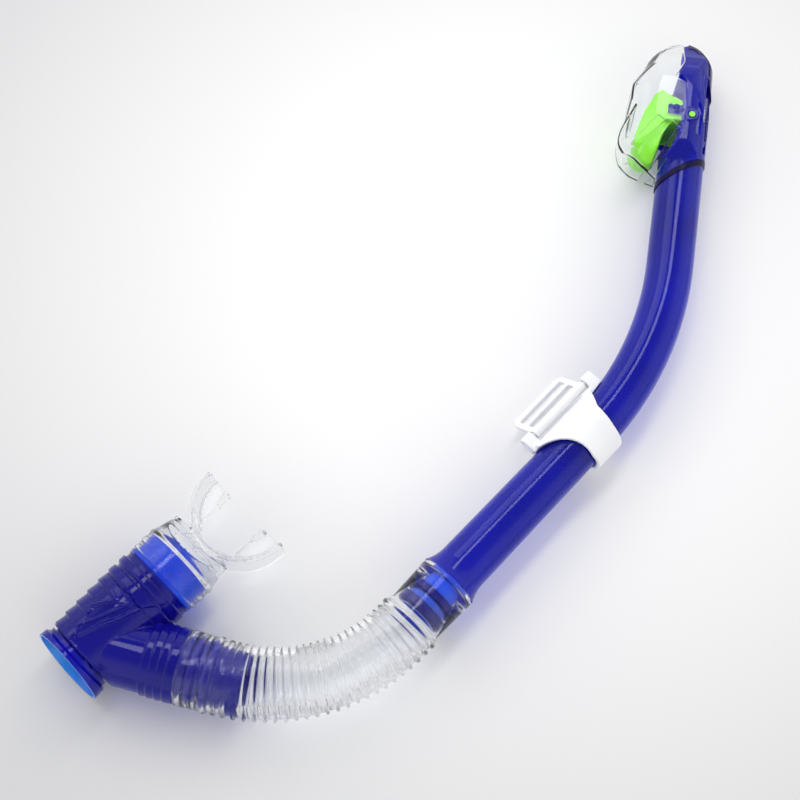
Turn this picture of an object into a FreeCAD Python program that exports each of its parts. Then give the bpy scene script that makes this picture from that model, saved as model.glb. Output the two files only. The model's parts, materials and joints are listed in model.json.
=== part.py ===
import FreeCAD, Part
import math
import os
import re
import Sketcher

# A dry-top snorkel lying flat. All centre lines lie in one level plane.
# Lengths are millimetres, angles are degrees.
#
# Local frames, each with its x axis along the piece it serves and z up:
#   barrel   origin at the seam between hose cuff and barrel, x up the barrel
#   top      origin where the barrel's centre line meets the dry top, x up the dry top
#   chamber  origin at the mouth of the purge chamber, x towards the mouthpiece
#   branch   origin at the edge of the lower hose cuff, x towards the purge chamber

SIZES = {
    # where the barrel's seam stands in the part's own frame
    "seam_x": 23.063,
    "seam_y": -120.49,
    "axis_height": 21.3,
    "barrel_turn": 46.5,
    # barrel
    "tube_radius": 12.5,
    "tube_wall": 1.6,
    "low_radius": 13.1,
    "straight_length": 107.0,
    "bend_radius": 178.0,
    "bend_turn": 34.2,
    "top_length": 52.0,
    "flare_radius": 15.8,
    "flare_length": 12.0,
    "spigot_radius": 10.9,
    "spigot_bore": 9.4,
    "spigot_length": 23.0,
    "barb_height": 2.6,
    # slanted joint between barrel and dry top
    "joint_slant": 32.7,
    "neck_ring_length": 3.4,
    "neck_ring_lip": 0.5,
    # hose
    "hose_radius": 87.4,
    "hose_turn": 61.5,
    "upper_cuff": 26.0,
    "upper_straight": 32.0,
    "lower_straight": 21.0,
    "ridge_count": 22.0,
    "hose_top_crest": 16.9,
    "hose_low_crest": 18.5,
    "ridge_height": 1.5,
    "hose_wall": 1.4,
    "fit_gap": 0.3,
    # purge chamber
    "branch_length": 46.0,
    "branch_offset": 55.7,
    "branch_turn": 60.0,
    "chamber_mouth_radius": 20.6,
    "chamber_neck_radius": 18.3,
    "chamber_wall": 1.8,
    "chamber_mouth": 13.0,
    "chamber_neck": 63.0,
    "chamber_ribs": 7.0,
    "rib_height": 0.9,
    "branch_radius": 17.6,
    "branch_spigot_radius": 15.2,
    "branch_spigot_bore": 13.4,
    "branch_spigot_length": 22.0,
    "branch_nose_radius": 14.4,
    "branch_nose_length": 31.0,
    # purge valve
    "guard_radius": 20.8,
    "guard_end": 72.2,
    "guard_slant": 9.0,
    "guard_wall": 1.5,
    "seat_radius": 16.2,
    "seat_thickness": 2.0,
    "membrane_radius": 14.2,
    "membrane_thickness": 0.9,
    "stem_radius": 1.1,
    # mouthpiece
    "collar_radius": 19.4,
    "collar_bore": 16.0,
    "sleeve_radius": 21.3,
    "flange_radius": 27.5,
    "flange_centre": 40.5,
    "flange_shift": -5.0,
    "flange_spread": 87.0,
    "flange_height": 27.0,
    "flange_wall": 2.6,
    "bite_width": 15.5,
    "bite_thickness": 4.4,
    # keeper
    "keeper_bore": 13.45,
    "keeper_wall": 2.3,
    "pin_offset": 19.6,
    "pin_radius": 1.5,
    "keeper_ear": 6.4,
    "frame_drop": 45.0,
    "frame_middle": 104.0,
    "frame_length": 40.0,
    "slot_width": 4.8,
    "slot_length": 31.0,
    # dry top
    "side_width": 16.5,
    "shell_wall": 1.7,
    "cover_width": 18.9,
    "cover_wall": 1.5,
    "pivot_up": 32.0,
    "pivot_side": -1.0,
    "axle_radius": 1.7,
    "peg_up": 34.0,
    "peg_side": 8.0,
    "peg_radius": 1.7,
    "float_half": 10.5,
    "pad_radius": 7.6,
    "pad_thickness": 1.8,
}

document = FreeCAD.newDocument("dry_top_snorkel")
sheet = document.addObject("Spreadsheet::Sheet", "Sizes")
for row, (alias, value) in enumerate(SIZES.items(), start=1):
    sheet.set(f"A{row}", alias)
    sheet.set(f"B{row}", str(value))
    sheet.setAlias(f"B{row}", alias)
document.recompute()

parts = {}


# ---------------------------------------------------------------- helpers

def size(expression):
    """Value of a sheet expression, in millimetres or degrees."""
    return float(sheet.evalExpression(str(expression)))


def bound(expression):
    """The same expression as another object of the document writes it."""
    return re.sub(r"\b([a-z][a-z_]+)\b(?!\()", r"Sizes.\1", str(expression))


def vector(x, y, z=0.0):
    return FreeCAD.Vector(x, y, z)


def turned(x, y, degrees, z=0.0):
    """Placement at (x, y, z), turned about the vertical."""
    return FreeCAD.Placement(vector(x, y, z), FreeCAD.Rotation(vector(0, 0, 1), degrees))


def keep(item, label, frame):
    """Finish a sub-part: its name and its place in the part's own frame."""
    item.Label = label
    item.Placement = frame.multiply(item.Placement)
    parts[label] = item
    return item


def origin_plane(body, role):
    return next(f for f in body.Origin.OriginFeatures if f.Role == role)


def new_sketch(body, name, role, height="0"):
    sketch = body.newObject("Sketcher::SketchObject", name)
    sketch.AttachmentSupport = [(origin_plane(body, role), "")]
    sketch.MapMode = "FlatFace"
    sketch.AttachmentOffset = FreeCAD.Placement(vector(0, 0, size(height)), FreeCAD.Rotation())
    sketch.setExpression("AttachmentOffset.Base.z", bound(height))
    return sketch


def pin_down(sketch, geometry, position, point, where):
    """Tie one sketch point to its two expressions."""
    for kind, value, expression in (("DistanceX", where.x, point[0]), ("DistanceY", where.y, point[1])):
        index = sketch.addConstraint(Sketcher.Constraint(kind, -1, 1, geometry, position, value))
        sketch.setExpression(f"Constraints[{index}]", bound(expression))


def outline(body, name, role, points, height="0"):
    """Closed outline. A point is (x, y), or (x, y, via_x, via_y) where an arc runs to the next point."""
    sketch = new_sketch(body, name, role, height)
    places = [vector(size(p[0]), size(p[1])) for p in points]
    edges = []
    for index, point in enumerate(points):
        start, end = places[index], places[(index + 1) % len(points)]
        if len(point) == 2:
            edges.append((sketch.addGeometry(Part.LineSegment(start, end), False), 1, 2))
            continue
        middle = vector(size(point[2]), size(point[3]))
        arc = sketch.addGeometry(Part.Arc(start, middle, end), False)
        leftward = (middle - start).cross(end - middle).z > 0
        edges.append((arc, 1, 2) if leftward else (arc, 2, 1))
        mark = sketch.addGeometry(Part.Point(middle), True)
        pin_down(sketch, mark, 1, point[2:4], middle)
        sketch.addConstraint(Sketcher.Constraint("PointOnObject", mark, 1, arc))
    for index, (edge, _, last) in enumerate(edges):
        following, first, _ = edges[(index + 1) % len(edges)]
        sketch.addConstraint(Sketcher.Constraint("Coincident", edge, last, following, first))
    for (edge, first, _), point, place in zip(edges, points, places):
        pin_down(sketch, edge, first, point, place)
    return sketch


def turned_body(name, points):
    """Solid of revolution about x from an outline of (x, radius) points."""
    body = document.addObject("PartDesign::Body", name)
    sketch = outline(body, name + "_outline", "XY_Plane", points)
    feature = body.newObject("PartDesign::Revolution", name + "_turn")
    feature.Profile = sketch
    feature.ReferenceAxis = (sketch, ["H_Axis"])
    feature.Angle = 360
    return body


def slab(name, points, low, high, role="XY_Plane"):
    """Plate with the given outline, from low to high along its plane's normal."""
    body = document.addObject("PartDesign::Body", name)
    sketch = outline(body, name + "_outline", role, points, low)
    feature = body.newObject("PartDesign::Pad", name + "_pad")
    feature.Profile = sketch
    feature.Length = size(f"({high}) - ({low})")
    feature.setExpression("Length", bound(f"({high}) - ({low})"))
    return body


def cylinder(name, radius, length, place):
    item = document.addObject("Part::Cylinder", name)
    item.Radius = size(radius)
    item.Height = size(length)
    item.setExpression("Radius", bound(radius))
    item.setExpression("Height", bound(length))
    item.Placement = place
    return item


def along(x, y, z, direction):
    """Placement whose z axis points in the given direction."""
    return FreeCAD.Placement(vector(x, y, z), FreeCAD.Rotation(vector(0, 0, 1), vector(*direction)))


def fuse(name, *items):
    result = document.addObject("Part::MultiFuse", name)
    result.Shapes = list(items)
    return result


def common(name, *items):
    result = document.addObject("Part::MultiCommon", name)
    result.Shapes = list(items)
    return result


def cut(name, base, *tools):
    result = document.addObject("Part::Cut", name)
    result.Base = base
    result.Tool = tools[0] if len(tools) == 1 else fuse(name + "_tools", *tools)
    return result


# ---------------------------------------------------------------- frames

barrel_frame = turned(size("seam_x"), size("seam_y"), size("barrel_turn"), size("axis_height"))

bend_start = vector(size("straight_length"), 0)
bend_centre = bend_start + vector(0, size("bend_radius"))
bend_end = bend_centre + vector(
    size("bend_radius * sin(bend_turn * 1deg)"), -size("bend_radius * cos(bend_turn * 1deg)"))
top_direction = vector(size("cos(bend_turn * 1deg)"), size("sin(bend_turn * 1deg)"))
top_origin = bend_end + top_direction * size("top_length")
top_in_barrel = turned(top_origin.x, top_origin.y, size("bend_turn"))
top_frame = barrel_frame.multiply(top_in_barrel)

hose_centre = vector(-size("upper_straight"), size("hose_radius"))
hose_end_angle = math.radians(-90.0 - size("hose_turn"))
hose_end = hose_centre + vector(math.cos(hose_end_angle), math.sin(hose_end_angle)) * size("hose_radius")
branch_heading = 180.0 - size("hose_turn")
branch_in_barrel = turned(hose_end.x, hose_end.y, branch_heading).multiply(
    turned(size("lower_straight"), 0, 0))
branch_frame = barrel_frame.multiply(branch_in_barrel)

chamber_frame = branch_frame.multiply(turned(size("branch_length"), 0, 0)).multiply(
    turned(0, 0, 180.0 + size("branch_turn"))).multiply(turned(size("branch_offset"), 0, 0))
branch_in_chamber = chamber_frame.inverse().multiply(branch_frame)


# ---------------------------------------------------------------- barrel

def make_barrel():
    """Bent tube with a flared foot, and a barbed spigot that the hose cuff is pushed over."""
    bore = "tube_radius - tube_wall"
    lower = turned_body("barrel_lower", [
        ("-spigot_length", "spigot_bore"),
        ("-1", "spigot_bore"),
        ("flare_length", "low_radius - tube_wall"),
        ("straight_length", bore),
        ("straight_length", "tube_radius"),
        ("flare_length", "low_radius", "flare_length * 0.4", "low_radius + 0.8"),
        ("0", "flare_radius"),
        ("0", "spigot_radius"),
        ("-9", "spigot_radius"),
        ("-9.6", "spigot_radius + barb_height"),
        ("-13", "spigot_radius + barb_height"),
        ("-13.6", "spigot_radius"),
        ("-17", "spigot_radius"),
        ("-17.6", "spigot_radius + barb_height"),
        ("-spigot_length + 1.5", "spigot_radius + barb_height"),
        ("-spigot_length", "spigot_radius + 0.3"),
    ])
    upper = document.addObject("PartDesign::Body", "barrel_upper")
    ring = new_sketch(upper, "barrel_ring", "YZ_Plane", "straight_length")
    for radius in ("tube_radius", bore):
        circle = ring.addGeometry(Part.Circle(vector(0, 0), vector(0, 0, 1), size(radius)), False)
        ring.addConstraint(Sketcher.Constraint("Coincident", circle, 3, -1, 1))
        index = ring.addConstraint(Sketcher.Constraint("Radius", circle, size(radius)))
        ring.setExpression(f"Constraints[{index}]", bound(radius))
    spine = new_sketch(upper, "barrel_spine", "XY_Plane")
    start = math.radians(-90.0)
    turn = math.radians(size("bend_turn"))
    circle = Part.Circle(bend_centre, vector(0, 0, 1), size("bend_radius"))
    spine.addGeometry(Part.ArcOfCircle(circle, start, start + turn), False)
    spine.addGeometry(Part.LineSegment(bend_end, top_origin + top_direction * 12.0), False)
    pipe = upper.newObject("PartDesign::AdditivePipe", "barrel_pipe")
    pipe.Profile = ring
    pipe.Spine = (spine, ["Edge1", "Edge2"])
    whole = fuse("barrel_whole", lower, upper)
    above = joint_block("barrel_above", "0", "40", top_in_barrel)
    return keep(cut("barrel", whole, above), "barrel_tube", barrel_frame)


def joint_block(name, low, high, frame=None):
    """Block between two planes parallel to the slanted joint, low and high above it along the tube."""
    body = slab(name, [
        (f"{low} - 22 * tan(joint_slant * 1deg) * -1", "-22"),
        (f"{high} - 22 * tan(joint_slant * 1deg) * -1", "-22"),
        (f"{high} - 22 * tan(joint_slant * 1deg)", "22"),
        (f"{low} - 22 * tan(joint_slant * 1deg)", "22"),
    ], "-22", "22")
    if frame is not None:
        body.Placement = frame
    return body


def make_neck_ring():
    """Dark soft ring that seals the slanted joint."""
    bore = "tube_radius - tube_wall"
    tube = turned_body("neck_ring_tube", [
        ("-25", bore),
        ("25", bore),
        ("25", "tube_radius + neck_ring_lip"),
        ("-25", "tube_radius + neck_ring_lip"),
    ])
    band = joint_block("neck_ring_band", "0", "neck_ring_length")
    return keep(common("neck_ring_common", tube, band), "neck_ring", top_frame)


def make_hose():
    """Soft hose in one moulding: smooth cuffs at both ends, rings between them, a bend in the middle."""
    gap = size("fit_gap")
    wall = size("hose_wall")
    count = int(size("ridge_count"))
    bend = size("hose_radius")
    step = size("hose_turn") / count
    crest_top, crest_low = size("hose_top_crest"), size("hose_low_crest")

    def ring_profile(points):
        corners = [vector(x, r) for x, r in points]
        return Part.Face(Part.makePolygon(corners + corners[:1]))

    def turned_solid(points):
        return ring_profile(points).revolve(vector(0, 0), vector(1, 0), 360)

    spigot = size("spigot_radius") + gap
    barb = spigot + size("barb_height")
    root = crest_top - size("ridge_height")
    upper = turned_solid([
        (-0.3, spigot), (-1.8, spigot), (-2.6, barb), (-23.5, barb), (-24.0, root - wall),
        (-size("upper_straight"), root - wall),
        (-size("upper_straight"), root), (-29.6, root), (-29.6, crest_top), (-27.6, crest_top),
        (-27.6, root), (-size("upper_cuff"), root), (-25.4, 14.9), (-8.0, 15.4), (-2.0, 15.7), (-0.3, 15.5),
    ])

    def disc(radius):
        return Part.Face(Part.Wire(Part.Circle(vector(0, -bend), vector(1, 0, 0), radius).toShape()))

    solids = [upper]
    for index in range(count):
        crest = crest_top + (crest_low - crest_top) * index / (count - 1)
        root = crest - size("ridge_height")
        start = -step * index
        for radius in (crest, root):
            start -= step / 2
            section = disc(radius).cut(disc(root - wall))
            piece = section.revolve(vector(0, 0), vector(0, 0, 1), step / 2)
            piece.Placement = turned(hose_centre.x, hose_centre.y, start)
            solids.append(piece.Solids[0])

    spigot = size("branch_spigot_radius") + gap
    barb = spigot + 1.6
    root = crest_low - size("ridge_height")
    lower = turned_solid([
        (0, root - wall), (0, crest_low), (2.0, crest_low), (2.0, root + 0.4), (5.0, root + 0.4),
        (5.0, 18.9), (7.2, 18.9), (7.2, 18.2), (19.6, 18.6), (20.7, 18.3), (20.7, spigot), (17.0, spigot),
        (16.4, barb), (12.6, barb), (12.0, spigot), (9.0, spigot), (8.4, barb), (4.6, barb), (4.0, spigot),
        (0.6, spigot),
    ])
    lower.Placement = turned(hose_end.x, hose_end.y, branch_heading)
    solids.append(lower)
    hose = document.addObject("Part::Feature", "hose")
    hose.Shape = solids[0].multiFuse(solids[1:]).removeSplitter()
    return keep(hose, "flex_hose", barrel_frame)


# ---------------------------------------------------------------- purge chamber

def make_chamber():
    """Y-shaped chamber: ribbed body from mouthpiece to purge, with the hose branch let into its side."""
    count = int(size("chamber_ribs"))
    outer = [("-chamber_neck - 3.2", "0"), ("-chamber_neck - 3.2", "16.6"), ("-chamber_neck", "16.6")]
    length = "(chamber_neck - chamber_mouth)"
    spread = "(chamber_mouth_radius - chamber_neck_radius - rib_height)"
    for index in range(count):
        for share, lift in ((index / count, "rib_height"), ((index + 0.86) / count, "0.2")):
            x = f"-chamber_neck + {length} * {share:.4f}"
            outer.append((x, f"chamber_neck_radius + {spread} * {share:.4f} + {lift}"))
    outer += [("-chamber_mouth", "chamber_mouth_radius"), ("-chamber_mouth", "0")]
    body = turned_body("chamber_outer", outer)
    bore = turned_body("chamber_bore", [
        ("-chamber_neck - 4", "0"),
        ("-chamber_neck - 4", "16.6 - chamber_wall"),
        ("-chamber_neck + 0.4", "16.6 - chamber_wall"),
        ("-chamber_neck + 0.4", "chamber_neck_radius - chamber_wall"),
        ("-chamber_mouth - 9", "chamber_mouth_radius - chamber_wall - 0.6"),
        ("-chamber_mouth + 1", "chamber_mouth_radius - chamber_wall - 0.2"),
        ("-chamber_mouth + 1", "0"),
    ])
    spigot = "branch_spigot_radius"
    start = "branch_length - 6"
    branch = turned_body("branch_outer", [
        (start, "0"),
        (start, "branch_radius"),
        ("17", "branch_radius"),
        ("16.4", "branch_radius + 0.8"),
        ("13", "branch_radius + 0.4"),
        ("12.4", "branch_radius + 1.1"),
        ("9", "branch_radius + 0.5"),
        ("8.4", "branch_radius + 1.1"),
        ("5", "branch_radius + 0.5"),
        ("4.4", "branch_radius + 1.1"),
        ("0", "branch_radius + 0.7"),
        ("0", spigot),
        ("-4.0", spigot),
        ("-4.6", spigot + " + 1.6"),
        ("-8.1", spigot + " + 1.6"),
        ("-8.7", spigot),
        ("-12.0", spigot),
        ("-12.6", spigot + " + 1.6"),
        ("-16.1", spigot + " + 1.6"),
        ("-16.7", spigot),
        ("-branch_spigot_length", spigot),
        ("-branch_spigot_length - 0.8", "branch_nose_radius"),
        ("-branch_nose_length", "branch_nose_radius"),
        ("-branch_nose_length", "0"),
    ])
    branch_bore = turned_body("branch_bore", [
        ("-branch_nose_length - 1", "0"),
        ("-branch_nose_length - 1", "branch_spigot_bore"),
        ("2", "branch_spigot_bore"),
        ("6", "branch_radius - chamber_wall"),
        (start, "branch_radius - chamber_wall"),
        (start, "0"),
    ])
    for piece in (branch, branch_bore):
        piece.Placement = branch_in_chamber
    whole = fuse("chamber_whole", body, common("branch_trimmed", branch, beside_purge("0")))
    airway = common("branch_airway", branch_bore, beside_purge("chamber_wall"))
    return keep(cut("chamber", whole, bore, airway), "purge_chamber", chamber_frame)


def beside_purge(inset):
    """Room for the branch, ending level with the chamber's shoulder or drawn in from it."""
    edge = f"-chamber_neck + {inset}"
    corners = [(edge, "-90"), ("20", "-90"), ("20", "30"), (edge, "30")]
    return slab("beside_purge_" + inset, corners, "-30", "30")


def make_purge_guard():
    """Open flared cup, its rim cut at a slant, snapped on the chamber's neck to shield the purge valve."""
    inner = "16.6 + 0.05"
    body = turned_body("guard", [
        ("-chamber_neck - 1.2", inner),
        ("-chamber_neck - 1.2", "chamber_neck_radius"),
        ("-chamber_neck - 3.0", "chamber_neck_radius + 0.1"),
        ("-chamber_neck - 4.2", "guard_radius - 0.7"),
        ("-guard_end - 5", "guard_radius"),
        ("-guard_end - 5", "guard_radius - guard_wall * 0.6"),
        ("-chamber_neck - 4.6", "guard_radius - guard_wall - 0.7"),
        ("-chamber_neck - 4.6", inner),
    ])
    beyond = slab("guard_beyond", [
        ("-100", "-30"), ("-guard_end - 30 * tan(guard_slant * 1deg)", "-30"),
        ("-guard_end + 30 * tan(guard_slant * 1deg)", "30"), ("-100", "30"),
    ], "-30", "30", "XZ_Plane")
    return keep(cut("guard_cup", body, beyond), "purge_guard", chamber_frame)


def make_purge_seat():
    """Spoked disc that carries the purge valve."""
    face = "-chamber_neck + 0.4"
    ring = turned_body("seat_ring", [
        (face, "12.9"),
        (face, "seat_radius"),
        (face + " + seat_thickness", "seat_radius"),
        (face + " + seat_thickness", "12.9"),
    ])
    hub = turned_body("seat_hub", [
        (face, "stem_radius + 0.3"),
        (face, "3.6"),
        (face + " + seat_thickness", "3.6"),
        (face + " + seat_thickness", "stem_radius + 0.3"),
    ])
    spokes = []
    for index in range(4):
        spoke = slab(f"seat_spoke_{index}", [
            (face, "2.6"), (face + " + seat_thickness", "2.6"),
            (face + " + seat_thickness", "13.6"), (face, "13.6"),
        ], "-1", "1")
        spoke.Placement = FreeCAD.Placement(vector(0, 0), FreeCAD.Rotation(vector(1, 0, 0), 45 + 90 * index))
        spokes.append(spoke)
    return keep(fuse("seat", ring, hub, *spokes), "purge_seat", chamber_frame)


def make_purge_membrane():
    """Soft mushroom valve: a thin disc outside the seat, its stem and bulb through the hub."""
    face = "-chamber_neck + 0.4"
    body = turned_body("membrane", [
        (face + " - 0.05", "0"),
        (face + " - 0.05 - membrane_thickness", "0"),
        (face + " - 0.05 - membrane_thickness * 0.7", "membrane_radius"),
        (face + " - 0.05", "membrane_radius"),
        (face + " - 0.05", "stem_radius"),
        (face + " + seat_thickness + 1.9", "stem_radius"),
        (face + " + seat_thickness + 2.3", "2.0"),
        (face + " + seat_thickness + 4.2", "1.0"),
        (face + " + seat_thickness + 4.6", "0"),
    ])
    return keep(body, "purge_membrane", chamber_frame)


# ---------------------------------------------------------------- mouthpiece

def make_swivel_collar():
    """Bright collar: turns in the chamber's mouth and carries the mouthpiece."""
    plug = "chamber_mouth_radius - chamber_wall - 0.6 - 0.35"
    body = turned_body("collar", [
        ("-chamber_mouth - 8.6", "collar_bore"),
        ("-chamber_mouth - 8.6", plug),
        ("-chamber_mouth - 5.6", plug),
        ("-chamber_mouth - 5.6", plug + " - 1.2"),
        ("-chamber_mouth - 3.0", plug + " - 1.2"),
        ("-chamber_mouth - 3.0", plug),
        ("-chamber_mouth + 0.3", plug),
        ("-chamber_mouth + 0.3", "chamber_mouth_radius"),
        ("-chamber_mouth + 2.2", "chamber_mouth_radius"),
        ("-chamber_mouth + 2.4", "collar_radius"),
        ("0.6", "collar_radius"),
        ("1.2", "17.6"),
        ("9.5", "17.2"),
        ("9.5", "collar_bore"),
    ])
    return keep(body, "swivel_collar", chamber_frame)


def make_collar_seal():
    """Round-section ring in the collar's groove."""
    seal = document.addObject("Part::Torus", "seal")
    centre = "chamber_mouth_radius - chamber_wall - 0.6 - 0.35 - 1.2 + 0.72"
    seal.Radius1 = size(centre)
    seal.Radius2 = 0.7
    seal.setExpression("Radius1", bound(centre))
    seal.Placement = along(-size("chamber_mouth + 4.3"), 0, 0, (1, 0, 0))
    return keep(seal, "collar_seal", chamber_frame)


def ellipse_wire(x, half_y, half_z):
    """Ellipse in the plane across x, wider along y."""
    curve = Part.Ellipse(vector(0, 0), half_y, half_z)
    wire = Part.Wire(curve.toShape())
    wire.Placement = FreeCAD.Placement(
        vector(x, 0), FreeCAD.Rotation(vector(0, 1, 0), vector(0, 0, 1), vector(1, 0, 0), "ZXY"))
    return wire


def flared_ring(radius, half_height):
    """Upright ring about the flange's centre whose edges lean outwards."""
    centre = vector(size("flange_centre"), size("flange_shift"))
    waist = radius - 2.2
    wall = size("flange_wall")
    corners = [centre + vector(r, 0, z) for r, z in (
        (waist, 0), (radius + 0.6, half_height), (radius - 1.2, half_height), (waist - wall, 2.4),
        (waist - wall, -2.4), (radius - 1.2, -half_height), (radius + 0.6, -half_height),
    )]
    return Part.Face(Part.makePolygon(corners + corners[:1])).revolve(centre, vector(0, 0, 1), 360)


def level_ring(inner, outer, half_height):
    low = vector(size("flange_centre"), size("flange_shift"), -half_height)
    return Part.makeCylinder(outer, 2 * half_height, low).cut(Part.makeCylinder(inner, 2 * half_height, low))


def open_ring(ring, half_height, spread):
    """Ring about the flange's centre with a sector of the given half angle removed towards +x."""
    centre = vector(size("flange_centre"), size("flange_shift"))
    reach = 80.0
    half = math.radians(spread)
    wedge = Part.Face(Part.makePolygon([
        centre, centre + vector(math.cos(half), -math.sin(half)) * reach, centre + vector(reach, 0),
        centre + vector(math.cos(half), math.sin(half)) * reach, centre,
    ])).extrude(vector(0, 0, 2 * half_height + 2))
    wedge.translate(vector(0, 0, -half_height - 1))
    return ring.cut(wedge)


def make_mouthpiece():
    """Soft mouthpiece: ribbed sleeve, neck, curved lip shield and two bite plates."""
    radius = size("flange_radius")
    sleeve_inner = size("collar_radius") + 0.05
    sleeve_points = [
        (-10.4, sleeve_inner), (-10.4, 20.9), (-8.6, 21.2), (-8.0, 20.5), (-5.6, 20.5), (-5.0, 21.3),
        (-3.2, 21.3), (-2.6, 20.6), (0.2, 20.9), (1.2, size("sleeve_radius")), (2.6, 20.8), (2.6, 17.75),
        (0.7, sleeve_inner),
    ]
    corners = [vector(x, r) for x, r in sleeve_points]
    sleeve = Part.Face(Part.makePolygon(corners + corners[:1])).revolve(vector(0, 0), vector(1, 0), 360)
    neck_end = size("flange_centre - flange_radius + 2.4")
    neck = Part.makeLoft([
        ellipse_wire(2.0, 20.8, 20.8), ellipse_wire(6.0, 19.8, 18.0), ellipse_wire(neck_end, 18.6, 11.5),
    ], True, False)
    airway = Part.makeLoft([
        ellipse_wire(1.9, 17.6, 17.6), ellipse_wire(9.8, 17.4, 17.3 * 0.86),
        ellipse_wire(neck_end + 3.5, 13.0, 6.5),
    ], True, False)
    barrel_room = Part.makeCylinder(17.75, 8.2, vector(1.5, 0), vector(1, 0))
    spread = size("flange_spread")
    half_height = size("flange_height") / 2
    shield = open_ring(flared_ring(radius, half_height), half_height, spread)
    oval = Part.Face(ellipse_wire(0, radius + 6.5, half_height)).extrude(vector(90, 0))
    oval.translate(vector(0, size("flange_shift")))
    shield = shield.common(oval)
    inner = radius - size("bite_width")
    plates = open_ring(level_ring(inner, radius - 3.0, size("bite_thickness") / 2), 5.0, spread)
    lips = open_ring(level_ring(inner, inner + 2.4, 5.0), 5.0, spread + 4)
    gap = Part.makeBox(radius + 2, 24.0, 30, vector(
        size("flange_centre") - radius + size("flange_wall"), size("flange_shift") - 12.0, -15))
    bites = plates.fuse(lips).cut(gap)
    solid = neck.fuse([sleeve, shield, bites]).cut(airway).cut(barrel_room).removeSplitter()
    item = document.addObject("Part::Feature", "mouthpiece_shape")
    item.Shape = solid
    return keep(item, "mouthpiece", chamber_frame)


# ---------------------------------------------------------------- keeper

keeper_low, keeper_high = "80", "122"
ear_low = "(frame_middle - frame_length / 2 - keeper_ear + 0.2)"
ear_high = "(frame_middle + frame_length / 2 - 0.2)"
pin_height = 2.0


def make_keeper_band():
    """Split band that grips the barrel, wide at the strap side, with two ears for the strap frame."""
    ring = turned_body("keeper_ring", [
        (keeper_low, "keeper_bore"),
        (keeper_high, "keeper_bore"),
        (keeper_high, "keeper_bore + keeper_wall"),
        (keeper_low, "keeper_bore + keeper_wall"),
    ])
    shape = slab("keeper_side", [
        (keeper_low, "20"),
        (keeper_low, "12.5", "88.5", "7.5"),
        ("94.5", "-10"),
        ("96.5", "-20"),
        ("112.5", "-20"),
        ("113", "-8"),
        ("115", "5"),
        ("120", "12"),
        (keeper_high, "15"),
        (keeper_high, "20"),
    ], "-20", "20")
    split = slab("keeper_split", [
        ("90", "-20"), ("118", "-20"), ("118", "-9"), ("90", "-9"),
    ], "-4.6", "-2.2")
    band = cut("keeper_open", common("keeper_shaped", ring, shape), split)
    reach = "pin_offset"
    width = "keeper_ear"
    wing = slab("keeper_wing", [
        ("117", "11.6"), (f"{ear_high} + {width}", "13.2"), (f"{ear_high} + {width}", "15.9"), ("117", "15.9"),
    ], f"{pin_height} - 3.2", f"{pin_height} + 3.2")
    ears = [wing]
    for index, low in enumerate((ear_low, ear_high)):
        ear = slab(f"keeper_ear_{index}", [
            (low, "12.6"), (f"{low} + {width}", "12.6"), (f"{low} + {width}", reach), (low, reach),
        ], f"{pin_height} - 3.2", f"{pin_height} + 3.2")
        nose_place = along(size(low), size(reach), pin_height, (1, 0, 0))
        nose = cylinder(f"keeper_nose_{index}", "3.2", width, nose_place)
        ears += [ear, nose]
    room = turned_body("keeper_room", [
        ("70", "0"), ("70", "keeper_bore"), (keeper_high, "keeper_bore"), ("135", "keeper_bore + 1.6"),
        ("135", "0"),
    ])
    hole = cylinder("keeper_hole", "pin_radius + 0.02", "60", along(70, size(reach), pin_height, (1, 0, 0)))
    whole = fuse("keeper_whole", band, *ears)
    return keep(cut("keeper", whole, room, hole), "keeper_band", barrel_frame)


def make_frame_pin():
    """Plain pin through both ears of the keeper."""
    start = size(ear_low) + 0.2
    pin = cylinder("pin", "pin_radius", f"{ear_high} + keeper_ear - 0.2 - {start}", along(
        start, size("pin_offset"), pin_height, (1, 0, 0)))
    return keep(pin, "frame_pin", barrel_frame)


def make_strap_frame():
    """Ladder frame for the mask strap, hinged on the pin; two slots and three bars."""
    low, high = "frame_middle - frame_length / 2 + 1.2", "frame_middle + frame_length / 2 - 1.2"
    slot_low, slot_high = "frame_middle - slot_length / 2", "frame_middle + slot_length / 2"
    plate = slab("frame_plate", [
        (low, "1.8"), (high, "1.8"), (high, "16.4"), (f"{high} - 3", "19.4"), (f"{low} + 3", "19.4"),
        (low, "16.4"),
    ], "-1.3", "1.3")
    hub = cylinder("frame_hub", "2.7", "frame_length - 2.4", along(size(low), 0, 0, (1, 0, 0)))
    slots = []
    for index, start in enumerate(("3.2", "10.8")):
        slots.append(slab(f"frame_slot_{index}", [
            (slot_low, start), (slot_high, start),
            (slot_high, f"{start} + slot_width"), (slot_low, f"{start} + slot_width"),
        ], "-3", "3"))
    hole = cylinder("frame_hole", "pin_radius + 0.08", "60", along(70, 0, 0, (1, 0, 0)))
    whole = cut("frame_whole", fuse("frame_solid", plate, hub), hole, *slots)
    droop = FreeCAD.Placement(
        vector(0, size("pin_offset"), pin_height), FreeCAD.Rotation(vector(1, 0, 0), -size("frame_drop")))
    return keep(whole, "strap_frame", barrel_frame.multiply(droop))


# ---------------------------------------------------------------- dry top

float_travel = 18.0
pad_rest = vector(46.4, 9.0)
pad_rest_heading = -29.7
pivot = vector(size("pivot_up"), size("pivot_side"))


def heading(degrees):
    return vector(math.cos(math.radians(degrees)), math.sin(math.radians(degrees)))


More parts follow.
